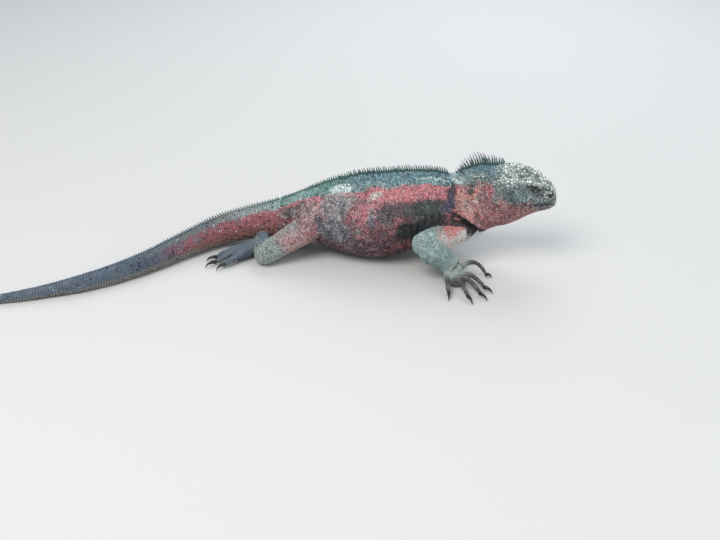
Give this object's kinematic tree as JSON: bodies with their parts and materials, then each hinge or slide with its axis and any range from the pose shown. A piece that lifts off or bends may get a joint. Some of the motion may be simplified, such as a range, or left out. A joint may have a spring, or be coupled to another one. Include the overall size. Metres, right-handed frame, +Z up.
{
  "type": "marine iguana",
  "caption": "Life-size marine iguana at rest, belly and tail on the floor, chest and blunt head raised on sprawled front legs.",
  "frame": {"origin": "on the floor under the middle of the belly, on the flat that the belly rests on", "axes": "+X towards the head, +Y to the animal's left, +Z up; the floor is the plane z = 0"},
  "size_m": [0.8413, 0.3751, 0.1658],
  "materials": {
    "red_hide": "matt scaly skin, coral red to rose",
    "teal_hide": "matt scaly skin, pale turquoise",
    "grey_hide": "matt scaly skin, slate blue-grey",
    "pale_hide": "matt scaly skin, pale grey speckled with black",
    "eye": "wet and glossy, dark brown"
  },
  "bodies": {
    "root": {"torso": "red_hide", "neck": "teal_hide", "head": "pale_hide", "eye_left": "eye", "eye_right": "eye", "tail_base": "red_hide", "tail_front": "red_hide", "tail_middle": "grey_hide", "tail_end": "grey_hide", "tail_tip": "grey_hide", "right_upper_arm": "teal_hide", "right_forearm": "teal_hide", "right_hand": "grey_hide", "right_thigh": "red_hide", "right_shank": "pale_hide", "right_foot": "grey_hide", "left_upper_arm": "teal_hide", "left_forearm": "teal_hide", "left_hand": "grey_hide", "left_thigh": "red_hide", "left_shank": "pale_hide", "left_foot": "grey_hide"}
  },
  "joints": []
}
